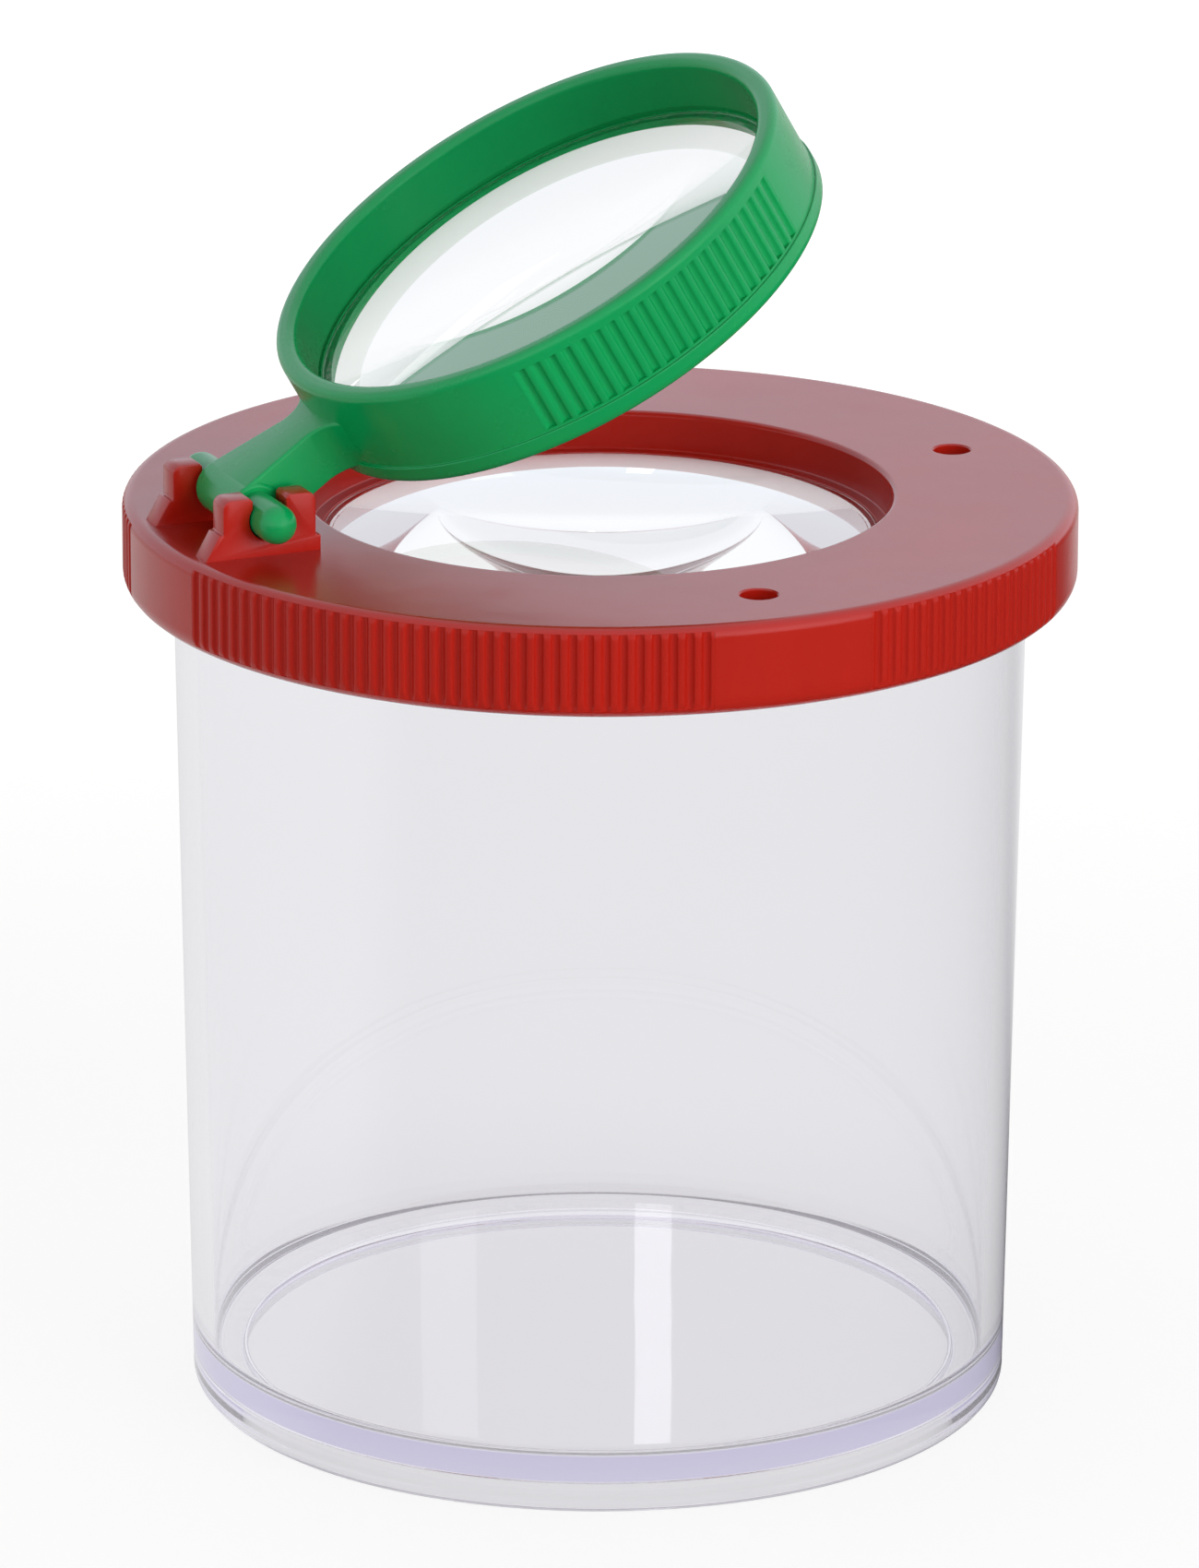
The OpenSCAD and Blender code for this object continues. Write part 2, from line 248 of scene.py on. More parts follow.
def math_node(operation, swapped=False):
    """A method of Val that adds a Math node for it and another value."""
    def method(self, other):
        pair = (other, self) if swapped else (self, other)
        return self.sheet.node("ShaderNodeMath", {"operation": operation}, dict(enumerate(pair)))
    return method


class Val:
    """A shader socket that Python's operators work on. Each operation adds its Math node."""

    __add__, __radd__ = math_node("ADD"), math_node("ADD", swapped=True)
    __sub__, __rsub__ = math_node("SUBTRACT"), math_node("SUBTRACT", swapped=True)
    __mul__, __truediv__ = math_node("MULTIPLY"), math_node("DIVIDE")
    larger, above = math_node("MAXIMUM"), math_node("GREATER_THAN")

    def __init__(self, sheet, socket):
        self.sheet, self.socket = sheet, socket

    def sibling(self, out):
        """Another output of the same node."""
        return Val(self.sheet, self.socket.node.outputs[out])


def whole(shade):
    """A colour as a socket takes it, from three numbers or from a Val."""
    return shade if isinstance(shade, Val) else (*shade, 1)


def grey(level):
    """A grey of three equal numbers."""
    return (level, level, level)


class Sheet:
    """The node tree of one material or of the world."""

    def __init__(self, owner):
        owner.use_nodes = True
        self.tree = owner.node_tree
        self.tree.nodes.clear()

    def node(self, kind, settings=None, sockets=None, out=0):
        """Adds a node, sets it and its sockets, and gives its output as a Val."""
        made = self.tree.nodes.new(kind)
        for key, value in (settings or {}).items():
            setattr(made, key, value)
        for key, value in (sockets or {}).items():
            if isinstance(value, Val):
                self.tree.links.new(value.socket, made.inputs[key])
            else:
                made.inputs[key].default_value = value
        return Val(self, made.outputs[out]) if len(made.outputs) else made

    def place(self):
        """The point of the surface, in the piece's own coordinates."""
        return self.node("ShaderNodeTexCoord", out="Object")

    def noise(self, scale, detail=3.0, rough=0.5, at=None):
        """Noise from 0 to 1 with so many grains a metre."""
        return self.node("ShaderNodeTexNoise", {}, {"Vector": at or self.place(), "Scale": scale,
                                                    "Detail": detail, "Roughness": rough}, out="Fac")

    def stretched(self, x, y, z):
        """The point of the surface, squeezed along an axis so that a noise draws out along another."""
        return self.node("ShaderNodeMapping", {}, {"Vector": self.place(), "Scale": (x, y, z)})

    def ramp(self, value, low, high):
        """Runs from 0 at low to 1 at high, and stays within them."""
        return self.node("ShaderNodeMapRange", {"interpolation_type": "SMOOTHSTEP"},
                         {"Value": value, "From Min": low, "From Max": high})

    def mix(self, factor, a, b):
        """Mixes two colours, which go into the node's sockets 6 and 7."""
        return self.node("ShaderNodeMix", {"data_type": "RGBA"}, {0: factor, 6: whole(a), 7: whole(b)}, out=2)

    def blend(self, factor, a, b):
        """Mixes two shaders."""
        return self.node("ShaderNodeMixShader", {}, {0: factor, 1: a, 2: b})

    def bump(self, height, distance, strength=1.0, under=None):
        """A normal that tilts with the height."""
        sockets = {"Height": height, "Distance": distance, "Strength": strength}
        if under is not None:
            sockets["Normal"] = under
        return self.node("ShaderNodeBump", {}, sockets)

    def glow(self, shade):
        """Light given off in a colour."""
        return self.node("ShaderNodeEmission", {}, {"Color": whole(shade), "Strength": 1.0})

    def path(self, *names):
        """1 for a ray of any of these kinds, and 0 for others."""
        found = None
        for name in names:
            ray = self.node("ShaderNodeLightPath", out=name)
            found = ray if found is None else found.larger(ray)
        return found

    def mirror(self):
        """1 for a ray that a surface has mirrored, and 0 for one that went into it."""
        return self.path("Is Glossy Ray") * self.path("Is Reflection Ray")

    def finish(self, kind, shader, volume=None):
        """Joins the shader to the output."""
        made = self.node(kind, {}, {"Surface": shader})
        if volume is not None:
            self.tree.links.new(volume.socket, made.inputs["Volume"])


def scaled(rgb, level):
    """A colour made lighter or darker."""
    return tuple(min(1.0, c * level) for c in rgb)


def moulded_plastic(name, rgb, gloss, sheen_level):
    """Glossy moulded plastic: faint flow marks, a fine skin, and handling marks in the gloss. A lower
    gloss number is glossier."""
    mat = bpy.data.materials.new(name)
    sheet = Sheet(mat)
    flow = sheet.noise(90, 4, 0.55, sheet.stretched(1, 1, 0.3))
    cloud = sheet.noise(28, 2)
    wear = sheet.ramp(sheet.noise(160, 4, 0.6), 0.5, 0.8)
    tone = sheet.mix(sheet.ramp(flow * 0.6 + cloud * 0.4, 0.3, 0.7), scaled(rgb, 0.93), scaled(rgb, 1.06))
    grain = sheet.bump(sheet.noise(5200, 2), distance=0.012 * MM, strength=0.5)
    skin = sheet.bump(sheet.noise(240, 3), distance=0.06 * MM, strength=0.35, under=grain)
    shader = sheet.node("ShaderNodeBsdfPrincipled", {}, {
        "Base Color": tone,
        "Roughness": gloss + wear * 0.04 + (cloud - 0.5) * 0.08,
        "Specular IOR Level": sheen_level,
        "Normal": skin,
    })
    sheet.finish("ShaderNodeOutputMaterial", shader)
    return mat


def clear_plastic(name, tint, ior, edge, depth=None, density=0.0, mirrored=None):
    """Polished clear plastic, which lamps and soft light pass straight through. A ray that is caught
    inside shows a painted glow in the edge colour. Where other pieces mirror it, it shows a painted
    reflection in the mirrored colour."""
    mat = bpy.data.materials.new(name)
    sheet = Sheet(mat)
    ripple = sheet.bump(sheet.noise(60, 2, 0.4), distance=0.05 * MM, strength=0.25)
    haze = sheet.ramp(sheet.noise(300, 5, 0.7), 0.55, 0.8)
    glass = sheet.node("ShaderNodeBsdfPrincipled", {}, {
        "Base Color": sheet.mix(sheet.noise(35, 2), scaled(tint, 0.995), tint),
        "Roughness": 0.008 + haze * 0.03,
        "IOR": ior,
        "Transmission Weight": 1.0,
        "Normal": ripple,
    })
    through = sheet.node("ShaderNodeBsdfTransparent", {}, {"Color": whole(scaled(tint, 0.97))})
    # Painted glow: a ray caught inside past so many bounces gives off the edge colour
    shader = sheet.blend(sheet.path("Glossy Depth").above(CAUGHT_BOUNCES), glass, sheet.glow(edge))
    # Painted reflection: a ray mirrored onto the plastic from outside sees a glow in the mirrored colour
    if mirrored is not None:
        outside = 1 - sheet.node("ShaderNodeNewGeometry", out="Backfacing")
        shader = sheet.blend(sheet.mirror() * outside, shader, sheet.glow(mirrored))
    shader = sheet.blend(sheet.path("Is Shadow Ray", "Is Diffuse Ray"), shader, through)
    volume = None
    if depth is not None:
        volume = sheet.node("ShaderNodeVolumeAbsorption", {}, {"Color": whole(depth), "Density": density})
    sheet.finish("ShaderNodeOutputMaterial", shader, volume)
    return mat


# Mesh helpers


def rounded(corners, ease=0.05 * MM, steps=CORNER_STEPS):
    """The points of a closed outline of (x, y, rounding) corners, with each rounding drawn as an arc.
    A rounded corner also gets a point a little way along each side, which keeps the flats flat."""
    count = len(corners)
    points = []
    for i, (x, y, r) in enumerate(corners):
        here = Vector((x, y))
        before = Vector(corners[i - 1][:2]) - here
        after = Vector(corners[(i + 1) % count][:2]) - here
        if r <= 0:
            points.append((x, y))
            continue
        a, b = before.normalized(), after.normalized()
        half = a.angle(b) / 2
        reach = r / math.tan(half)
        centre = here + (a + b).normalized() * (r / math.sin(half))
        start, end = here + a * reach, here + b * reach
        if reach + ease < before.length:
            points.append(tuple(start + a * ease))
        u, v = start - centre, end - centre
        turn = math.atan2(u.x * v.y - u.y * v.x, u.dot(v))
        for k in range(steps + 1):
            points.append(tuple(centre + Matrix.Rotation(turn * k / steps, 2) @ u))
        if reach + ease < after.length:
            points.append(tuple(end + b * ease))
    return points


def linked(name, data):
    """A new object in the scene."""
    made = bpy.data.objects.new(name, data)
    bpy.context.scene.collection.objects.link(made)
    return made


def as_piece(name, mesh_data, material):
    """A linked object from a bmesh, which is used up."""
    mesh = bpy.data.meshes.new(name)
    mesh_data.to_mesh(mesh)
    mesh_data.free()
    mesh.materials.append(material)
    return linked(name, mesh)


def merged(mesh_data, distance):
    """Makes one of the points of a bmesh that lie closer than the distance."""
    bmesh.ops.remove_doubles(mesh_data, verts=mesh_data.verts, dist=distance)
    bmesh.ops.dissolve_degenerate(mesh_data, edges=mesh_data.edges, dist=distance)


def finished(name, mesh_data, material, weld=WELD, sharp=SHARP):
    """A linked object from a bmesh: merged, turned outwards, smooth but for its sharp edges."""
    merged(mesh_data, weld)
    bmesh.ops.recalc_face_normals(mesh_data, faces=mesh_data.faces)
    for face in mesh_data.faces:
        face.smooth = True
    made = as_piece(name, mesh_data, material)
    made.data.set_sharp_from_angle(angle=math.radians(sharp))
    return made


def turned_mesh(outlines, angles, closed=True, around=True):
    """A bmesh turned round Z. outlines gives the outline at each angle, all with as many points."""
    made = bmesh.new()
    rings = []
    for angle, outline in zip(angles, outlines):
        c, s = math.cos(angle), math.sin(angle)
        rings.append([made.verts.new((r * c, r * s, z)) for r, z in outline])
    count = len(rings[0])
    for ring, after in zip(rings, rings[1:] + (rings[:1] if around else [])):
        for j in range(count if closed else count - 1):
            k = (j + 1) % count
            made.faces.new((ring[j], after[j], after[k], ring[k]))
    return made


def turned(name, outline, material, steps=TURN_STEPS):
    """A piece turned round Z from one outline, which starts and ends on the axis."""
    angles = [2 * math.pi * i / steps for i in range(steps)]
    return finished(name, turned_mesh([outline] * steps, angles, closed=False), material)


def moved(piece, matrix):
    """Moves a piece's mesh and leaves its object at the origin."""
    piece.data.transform(matrix)
    piece.data.update()
    return piece


def baked(piece):
    """Turns a piece with modifiers into a plain mesh, without edges too short to see."""
    graph = bpy.context.evaluated_depsgraph_get()
    mesh = bpy.data.meshes.new_from_object(piece.evaluated_get(graph), preserve_all_data_layers=True,
                                           depsgraph=graph)
    mesh_data = bmesh.new()
    mesh_data.from_mesh(mesh)
    merged(mesh_data, WELD)
    mesh_data.to_mesh(mesh)
    mesh_data.free()
    piece.modifiers.clear()
    piece.data = mesh
    mesh.name = piece.name
    return piece


def softened(piece, width, segments):
    """Rounds the sharp edges of a piece."""
    edge = piece.modifiers.new("edge", "BEVEL")
    edge.width, edge.segments = width, segments
    edge.limit_method, edge.angle_limit = "ANGLE", math.radians(SHARP)
    edge.harden_normals = False
    baked(piece)
    for face in piece.data.polygons:
        face.use_smooth = True
    piece.data.set_sharp_from_angle(angle=math.radians(BEVEL_SHARP))
    return piece


def extruded(name, outline, low, high, material, axes=(0, 1, 2)):
    """A closed outline drawn out from low to high. axes says which way its two axes and its depth go."""
    made = bmesh.new()
    layers = []
    for level in (low, high):
        layer = []
        for x, y in outline:
            point = [0.0, 0.0, 0.0]
            point[axes[0]], point[axes[1]], point[axes[2]] = x, y, level
            layer.append(made.verts.new(point))
        layers.append(layer)
    count = len(outline)
    for j in range(count):
        k = (j + 1) % count
        made.faces.new((layers[0][j], layers[0][k], layers[1][k], layers[1][j]))
    made.faces.new(layers[0])
    made.faces.new(layers[1])
    return finished(name, made, material)


def joined(name, pieces):
    """Joins pieces into one object of that name."""
    mesh_data = bmesh.new()
    for piece in pieces:
        mesh_data.from_mesh(piece.data)
    made = as_piece(name, mesh_data, pieces[0].data.materials[0])
    for piece in pieces:
        bpy.data.objects.remove(piece)
    return made


# Grip grooves


def grip_steps(span, radius, pitch):
    """How many grooves a stretch takes, and the angle from one to the next."""
    start, end = (math.radians(a) for a in span)
    count = math.floor((end - start) * radius / pitch)
    return count, (end - start) / count


def side_radius(outline, z):
    """The outer radius of an outline at a height."""
    best = 0.0
    for (r0, z0), (r1, z1) in zip(outline, outline[1:] + outline[:1]):
        if min(z0, z1) - ON_HEIGHT <= z <= max(z0, z1) + ON_HEIGHT:
            t = 0.5 if abs(z1 - z0) < ON_LEVEL else (z - z0) / (z1 - z0)
            best = max(best, r0 + (r1 - r0) * t)
    return best


def bedded(outline, z0, z1, radius, bed_r):
    """An outline in two forms with as many points: plain, and with its outer side between z0 and z1 cut
    back to bed_r. The outline runs up its outer side."""
    plain, cut = [], []
    count = len(outline)
    for i, (r, z) in enumerate(outline):
        r1, z_next = outline[(i + 1) % count]
        outer = r > radius * OUTER_SHARE
        inside = outer and z0 < z < z1 and side_radius(outline, z) - r < ON_SIDE
        plain.append((r, z))
        cut.append((min(r, bed_r), z) if inside else (r, z))
        middle = side_radius(outline, (z + z_next) / 2)
        rising = outer and z_next > z and middle - (r + r1) / 2 < ON_SLOPE
        for level, order in ((z0, (0, 1)), (z1, (1, 0))):
            if rising and z < level < z_next:
                edge = r + (r1 - r) * (level - z) / (z_next - z)
                pair = ((edge, level), (min(edge, bed_r), level))
                plain += [pair[0], pair[0]]
                cut += [pair[order[0]], pair[order[1]]]
    return plain, cut


def grip_tree():
    """Node tree that sets one groove cell after another round Z and adds them to what it is given."""
    tree = bpy.data.node_groups.new("Grip grooves", "GeometryNodeTree")
    face = tree.interface
    face.new_socket("Geometry", in_out="INPUT", socket_type="NodeSocketGeometry")
    for label, kind in (("Cell", "Object"), ("First angle", "Float"), ("Step angle", "Float"),
                        ("Count", "Int"), ("Weld", "Float"), ("Material", "Material")):
        face.new_socket(label, in_out="INPUT", socket_type="NodeSocket" + kind)
    face.new_socket("Geometry", in_out="OUTPUT", socket_type="NodeSocketGeometry")

    def add(kind, *links):
        """Adds a node. Each link is one of its sockets and the output that feeds it."""
        made = tree.nodes.new(kind)
        for socket, source in links:
            tree.links.new(source, made.inputs[socket])
        return made

    given = add("NodeGroupInput").outputs
    points = add("GeometryNodePoints", ("Count", given["Count"]))
    turn = add("ShaderNodeMath")
    turn.operation = "MULTIPLY_ADD"
    index = add("GeometryNodeInputIndex").outputs[0]
    for socket, source in enumerate((index, given["Step angle"], given["First angle"])):
        tree.links.new(source, turn.inputs[socket])
    angle = add("ShaderNodeCombineXYZ", ("Z", turn.outputs[0]))
    cell = add("GeometryNodeObjectInfo", ("Object", given["Cell"]))
    copies = add("GeometryNodeInstanceOnPoints", ("Points", points.outputs[0]),
                 ("Instance", cell.outputs["Geometry"]), ("Rotation", angle.outputs[0]))
    both = add("GeometryNodeJoinGeometry", (0, copies.outputs[0]), (0, given["Geometry"]))
    real = add("GeometryNodeRealizeInstances", (0, both.outputs[0]))
    weld = add("GeometryNodeMergeByDistance", ("Geometry", real.outputs[0]), ("Distance", given["Weld"]))
    paint = add("GeometryNodeSetMaterial", ("Geometry", weld.outputs[0]), ("Material", given["Material"]))
    add("NodeGroupOutput", (0, paint.outputs[0]))
    return tree


def groove_cell(name, outline, radius, z0, z1, step, grip, material):
    """One pitch of a grooved side, open towards its neighbours: grooved in front and flat behind."""
    half = step / 2
    reach = math.sqrt(grip.groove_r ** 2 - (grip.groove_r - grip.groove_d) ** 2) / radius
    near = [reach * share for share in GROOVE_SHARES]
    near += [reach + (half - reach) * share for share in RIDGE_SHARES]
    turns = [-a for a in reversed(near[1:])] + near
    back = radius - grip.groove_d - grip.bed * 8
    sink = grip.bed / 2
    corners = {z for r, z in outline if z0 < z < z1 and r > radius * OUTER_SHARE
               and side_radius(outline, z) - r < ON_SIDE}
    levels = sorted({z0, z1} | corners)
    centre = radius + grip.groove_r - grip.groove_d
    skin = grip.bed / 20
    loops = []
    for turn in turns:
        across = abs(turn) * radius
        deep = centre - math.sqrt(grip.groove_r ** 2 - across ** 2) if across < reach * radius else radius
        fall = max(0.0, 1 - max(0.0, abs(turn) - reach) / (half - reach))
        deep = min(deep, radius - skin - grip.crown * fall ** 2)
        loop = [(min(side_radius(outline, z) - skin, deep), z) for z in levels]
        loop = [(loop[0][0], z0 - sink)] + loop + [(loop[-1][0], z1 + sink)]
        loops.append(loop + [(back, z1 + sink), (back, z0 - sink)])
    return as_piece(name, turned_mesh(loops, turns, around=False), material)


def grooved_band(name, outline, radius, z0, z1, spans, grip, material):
    """The grooves of all stretches, as one closed piece that lies in the bed cut for it."""
    band = linked(name, bpy.data.meshes.new(name))
    tree = grip_tree()
    items = tree.interface.items_tree
    sockets = {item.name: item.identifier for item in items if item.in_out == "INPUT"}
    cells = []
    for span in spans:
        count, step = grip_steps(span, radius, grip.pitch)
        cell = groove_cell(f"{name}_cell", outline, radius, z0, z1, step, grip, material)
        cells.append(cell)
        nodes = band.modifiers.new("grip", "NODES")
        nodes.node_group = tree
        for label, value in (("Cell", cell), ("First angle", math.radians(span[0]) + step / 2),
                             ("Step angle", step), ("Count", count), ("Weld", CELL_WELD),
                             ("Material", material)):
            nodes[sockets[label]] = value
    baked(band)
    for cell in cells:
        bpy.data.objects.remove(cell)
    made = bmesh.new()
    made.from_mesh(band.data)
    bmesh.ops.holes_fill(made, edges=[e for e in made.edges if e.is_boundary])
    bpy.data.objects.remove(band)
    return finished(name, made, material, BAND_WELD, GROOVE_SHARP)


def body_with_beds(name, outline, radius, z0, z1, spans, bed_r, material):
    """A turned piece whose outer side is cut back where its grooves lie."""
    plain, cut = bedded(outline, z0, z1, radius, bed_r)
    notch = 0.01 * MM / radius
    spans = [(math.radians(start), math.radians(end)) for start, end in spans]
    angles = [2 * math.pi * i / GROOVED_STEPS for i in range(GROOVED_STEPS)]
    angles = [a for a in angles if all(abs(a - end) > 3 * notch for span in spans for end in span)]
    marks = [(a, any(start < a < end for start, end in spans)) for a in angles]
    for start, end in spans:
        marks += [(start - notch, False), (start + notch, True), (end - notch, True), (end + notch, False)]
    marks.sort()
    made = turned_mesh([cut if inside else plain for _, inside in marks], [a for a, _ in marks])
    return finished(name, made, material)


def cap_of_ball(r, z, height):
    """Points of a lens face from the axis to its rim at radius r and height z. Its middle lies higher
    by the height, which may be less than nothing."""
    ball = (r * r + height * height) / (2 * abs(height))
    sign = 1 if height > 0 else -1
    top = math.asin(min(1.0, r / ball))
    turns = [top * k / LENS_STEPS for k in range(LENS_STEPS + 1)]
    return [(ball * math.sin(turn), z + sign * (abs(height) - ball + ball * math.cos(turn)))
            for turn in turns]


def lens_outline(r, t, top, rise, edge, drop=0, land=0):
    """Half section of a lens from the middle of its lower face, which is flat or drops inside a flat
    land, to the pole of its upper face."""
    inner, bottom, round_r = r - edge, top - t, edge * 0.9
    if drop:
        low = cap_of_ball(r - land, bottom, -drop)
    else:
        low = [(inner * k / LENS_STEPS, bottom) for k in range(LENS_STEPS)]
    corners = [(inner, bottom, 0), (r, bottom, round_r), (r, top, round_r), (inner, top, 0)]
    rim = rounded(corners, ease=edge / 8)
    return low + rim[1:-1] + cap_of_ball(inner, top, rise)[::-1]


def hinge_turn(hinge, cap, angle):
    """Turns the closed magnifier open about its pin."""
    place = Vector((-hinge.x, 0, cap.top + hinge.z))
    return Matrix.Translation(place) @ Matrix.Rotation(-angle, 4, "Y") @ Matrix.Translation(-place)


# Operators


class BUGJAR_OT_cup(bpy.types.Operator):
    """Turns the clear cup with its floor, foot ring and rim"""

    bl_idname = "bugjar.cup"
    bl_label = "Clear cup"

    def execute(self, context):
        s, tint = context.scene.bugjar_cup, context.scene.bugjar_colours
        material = clear_plastic("clear_polystyrene", tint.clear, CUP_IOR, tint.clear_caught_glow,
                                 tint.clear_depth, CUP_DENSITY)
        foot_r = s.foot_r - s.foot_w
        inner_foot = s.foot_r - s.wall
        inner_neck = s.neck_r - s.wall
        rim_low = s.rim_top - s.rim_h
        flare = rim_low - (s.rim_r - s.neck_r)
        soft, bend, crease, fillet = 0.3 * MM, 0.4 * MM, 0.2 * MM, 1.2 * MM
        outline = rounded([
            (foot_r, s.foot_h, soft), (foot_r, 0, soft), (s.foot_r, 0, s.foot_round),
            (s.neck_r, flare, bend), (s.rim_r, rim_low, bend),
            (s.rim_r, s.rim_top, s.rim_round), (inner_neck, s.rim_top, s.rim_round),
            (inner_neck, rim_low, crease), (inner_foot, s.floor_top, fillet),
            (0, s.floor_top, 0), (0, s.foot_h, 0),
        ], steps=10)
        outline = outline[-1:] + outline[:-1]
        cup = turned("cup", outline, material, CUP_STEPS)
        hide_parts("jar")
        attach(cup, "jar")
        return {"FINISHED"}


def red_plastic(context):
    """The cap's plastic, made once."""
    return bpy.data.materials.get("red_plastic") or moulded_plastic(
        "red_plastic", context.scene.bugjar_colours.red, gloss=0.22, sheen_level=0.5)


def lens_plastic(context, name, edge):
    """The plastic of a lens, with a painted glow in the colour that its surroundings would give to light
    caught in it, and a painted reflection where other pieces mirror it.
    """
    tint = context.scene.bugjar_colours.lens
    return clear_plastic(name, tint, LENS_IOR, edge, mirrored=LENS_PAINTED_REFLECTION)


class BUGJAR_OT_cap(bpy.types.Operator):
    """Turns the red cap, drills its air holes and lays the grip grooves"""

    bl_idname = "bugjar.cap"
    bl_label = "Red cap"

    def execute(self, context):
        s, grip = context.scene.bugjar_cap, context.scene.bugjar_grip
        material = red_plastic(context)
        pocket_r = s.recess_r - s.ledge_w
        seat = s.top - s.recess_d - s.lens_t
        collar_r = pocket_r + s.collar_t
        inside = s.outer_r - s.skirt_t
        fine = 0.15 * MM
        outline = rounded([
            (s.outer_r, s.low, s.low_round), (s.outer_r, s.top, s.top_round),
            (s.recess_r, s.top, s.hole_round), (s.recess_r, s.top - s.recess_d, fine),
            (pocket_r, s.top - s.recess_d, fine / 2), (pocket_r, seat, 0),
            (pocket_r - s.lip_w, seat, fine), (pocket_r - s.lip_w, seat - s.lip_h, fine),
            (collar_r, seat - s.lip_h, fine), (collar_r, s.top - s.plate_t, fine * 2),
            (inside, s.top - s.plate_t, fine * 2), (inside, s.low, fine),
        ], steps=8)
        z0, z1 = s.low + grip.cap_low, s.top - grip.cap_top
        bed_r = s.outer_r - grip.groove_d - grip.bed
        cap = body_with_beds("cap", outline, s.outer_r, z0, z1, CAP_SPANS, bed_r, material)
        drill = self.drill(s, material)
        hole = cap.modifiers.new("air", "BOOLEAN")
        hole.operation, hole.object, hole.solver = "DIFFERENCE", drill, "EXACT"
        baked(cap)
        bpy.data.objects.remove(drill)
        cap.data.set_sharp_from_angle(angle=math.radians(SHARP))
        grip_material = moulded_plastic("red_grip", context.scene.bugjar_colours.red,
                                        gloss=0.3, sheen_level=0.28)
        band = grooved_band("cap_grip", outline, s.outer_r, z0, z1, CAP_SPANS, grip, grip_material)
        for piece in (cap, band):
            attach(piece, "lid")
        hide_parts("lid")
        return {"FINISHED"}

    def drill(self, s, material):
        """Cutters for the air holes, flared a little at both faces."""
        flare = 0.12 * MM
        low, high = s.top - s.plate_t, s.top
        outline = [(0, low - flare), (s.air_r + 2 * flare, low - flare), (s.air_r, low + flare),
                   (s.air_r, high - flare), (s.air_r + 2 * flare, high + flare), (0, high + flare)]
        cutters = []
        for angle in AIR_ANGLES:
            turn = math.radians(angle)
            place = (s.air_place * math.cos(turn), s.air_place * math.sin(turn), 0)
            cutter = turned("drill", outline, material, AIR_STEPS)
            cutters.append(moved(cutter, Matrix.Translation(place)))
        return joined("drills", cutters)


class BUGJAR_OT_brackets(bpy.types.Operator):
    """Stands the two snap brackets on the cap"""

    bl_idname = "bugjar.brackets"
    bl_label = "Snap brackets"

    def execute(self, context):
        s, hinge = context.scene.bugjar_cap, context.scene.bugjar_hinge
        material = red_plastic(context)
        slot_r = hinge.pin_r + hinge.pin_gap
        prong_x = slot_r + hinge.prong_t
        base_h = hinge.z - slot_r
        throat = hinge.z + math.sqrt(slot_r ** 2 - hinge.mouth_w ** 2)
        start = math.atan2(throat - hinge.z, hinge.mouth_w)
        sweep = math.pi + 2 * start
        bore = []
        for k in range(SLOT_STEPS + 1):
            turn = start - sweep * k / SLOT_STEPS
            bore.append((slot_r * math.cos(turn), hinge.z + slot_r * math.sin(turn), 0))
        sunk, edge, top = -0.3 * MM, hinge.edge, hinge.prong_h
        tip = top - hinge.mouth_flare
        mouth = hinge.mouth_w + hinge.mouth_flare
        outline = rounded([
            (-prong_x - hinge.gusset_w, sunk, 0), (prong_x + hinge.base_step, sunk, 0),
            (prong_x + hinge.base_step, base_h, edge), (prong_x, base_h, edge),
            (prong_x, top, hinge.prong_round), (mouth, top, edge), (hinge.mouth_w, tip, edge),
            *bore,
            (-hinge.mouth_w, tip, edge), (-mouth, top, edge), (-prong_x, top, hinge.prong_round),
            (-prong_x, hinge.gusset_h, edge), (-prong_x - hinge.gusset_top, hinge.gusset_h, edge),
            (-prong_x - hinge.gusset_w, 0, 0),
        ], ease=0, steps=5)
        low = hinge.arm_w + hinge.arm_gap
        pair = []
        for side in (-1, 1):
            ends = sorted((side * low, side * (low + hinge.bracket_t)))
            bracket = extruded("bracket", outline, *ends, material, axes=(0, 2, 1))
            moved(bracket, Matrix.Translation((-hinge.x, 0, s.top)))
            pair.append(softened(bracket, edge, segments=2))
        brackets = joined("snap_brackets", pair)
        brackets.data.set_sharp_from_angle(angle=math.radians(BEVEL_SHARP))
        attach(brackets, "lid")
        return {"FINISHED"}


class BUGJAR_OT_cap_lens(bpy.types.Operator):
    """Turns the lens that sits in the cap"""

    bl_idname = "bugjar.cap_lens"
    bl_label = "Cap lens"

    def execute(self, context):
        s, lens = context.scene.bugjar_cap, context.scene.bugjar_lens
        outline = lens_outline(s.recess_r - s.ledge_w - lens.fit, s.lens_t, s.top - s.recess_d,
                               lens.cap_rise, lens.edge, lens.cap_drop, s.lip_w)
        material = lens_plastic(context, "cap_lens_plastic", context.scene.bugjar_colours.cap_lens_caught_glow)
        piece = turned("cap_lens", outline, material)
        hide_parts("lid_lens")
        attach(piece, "lid")
        return {"FINISHED"}


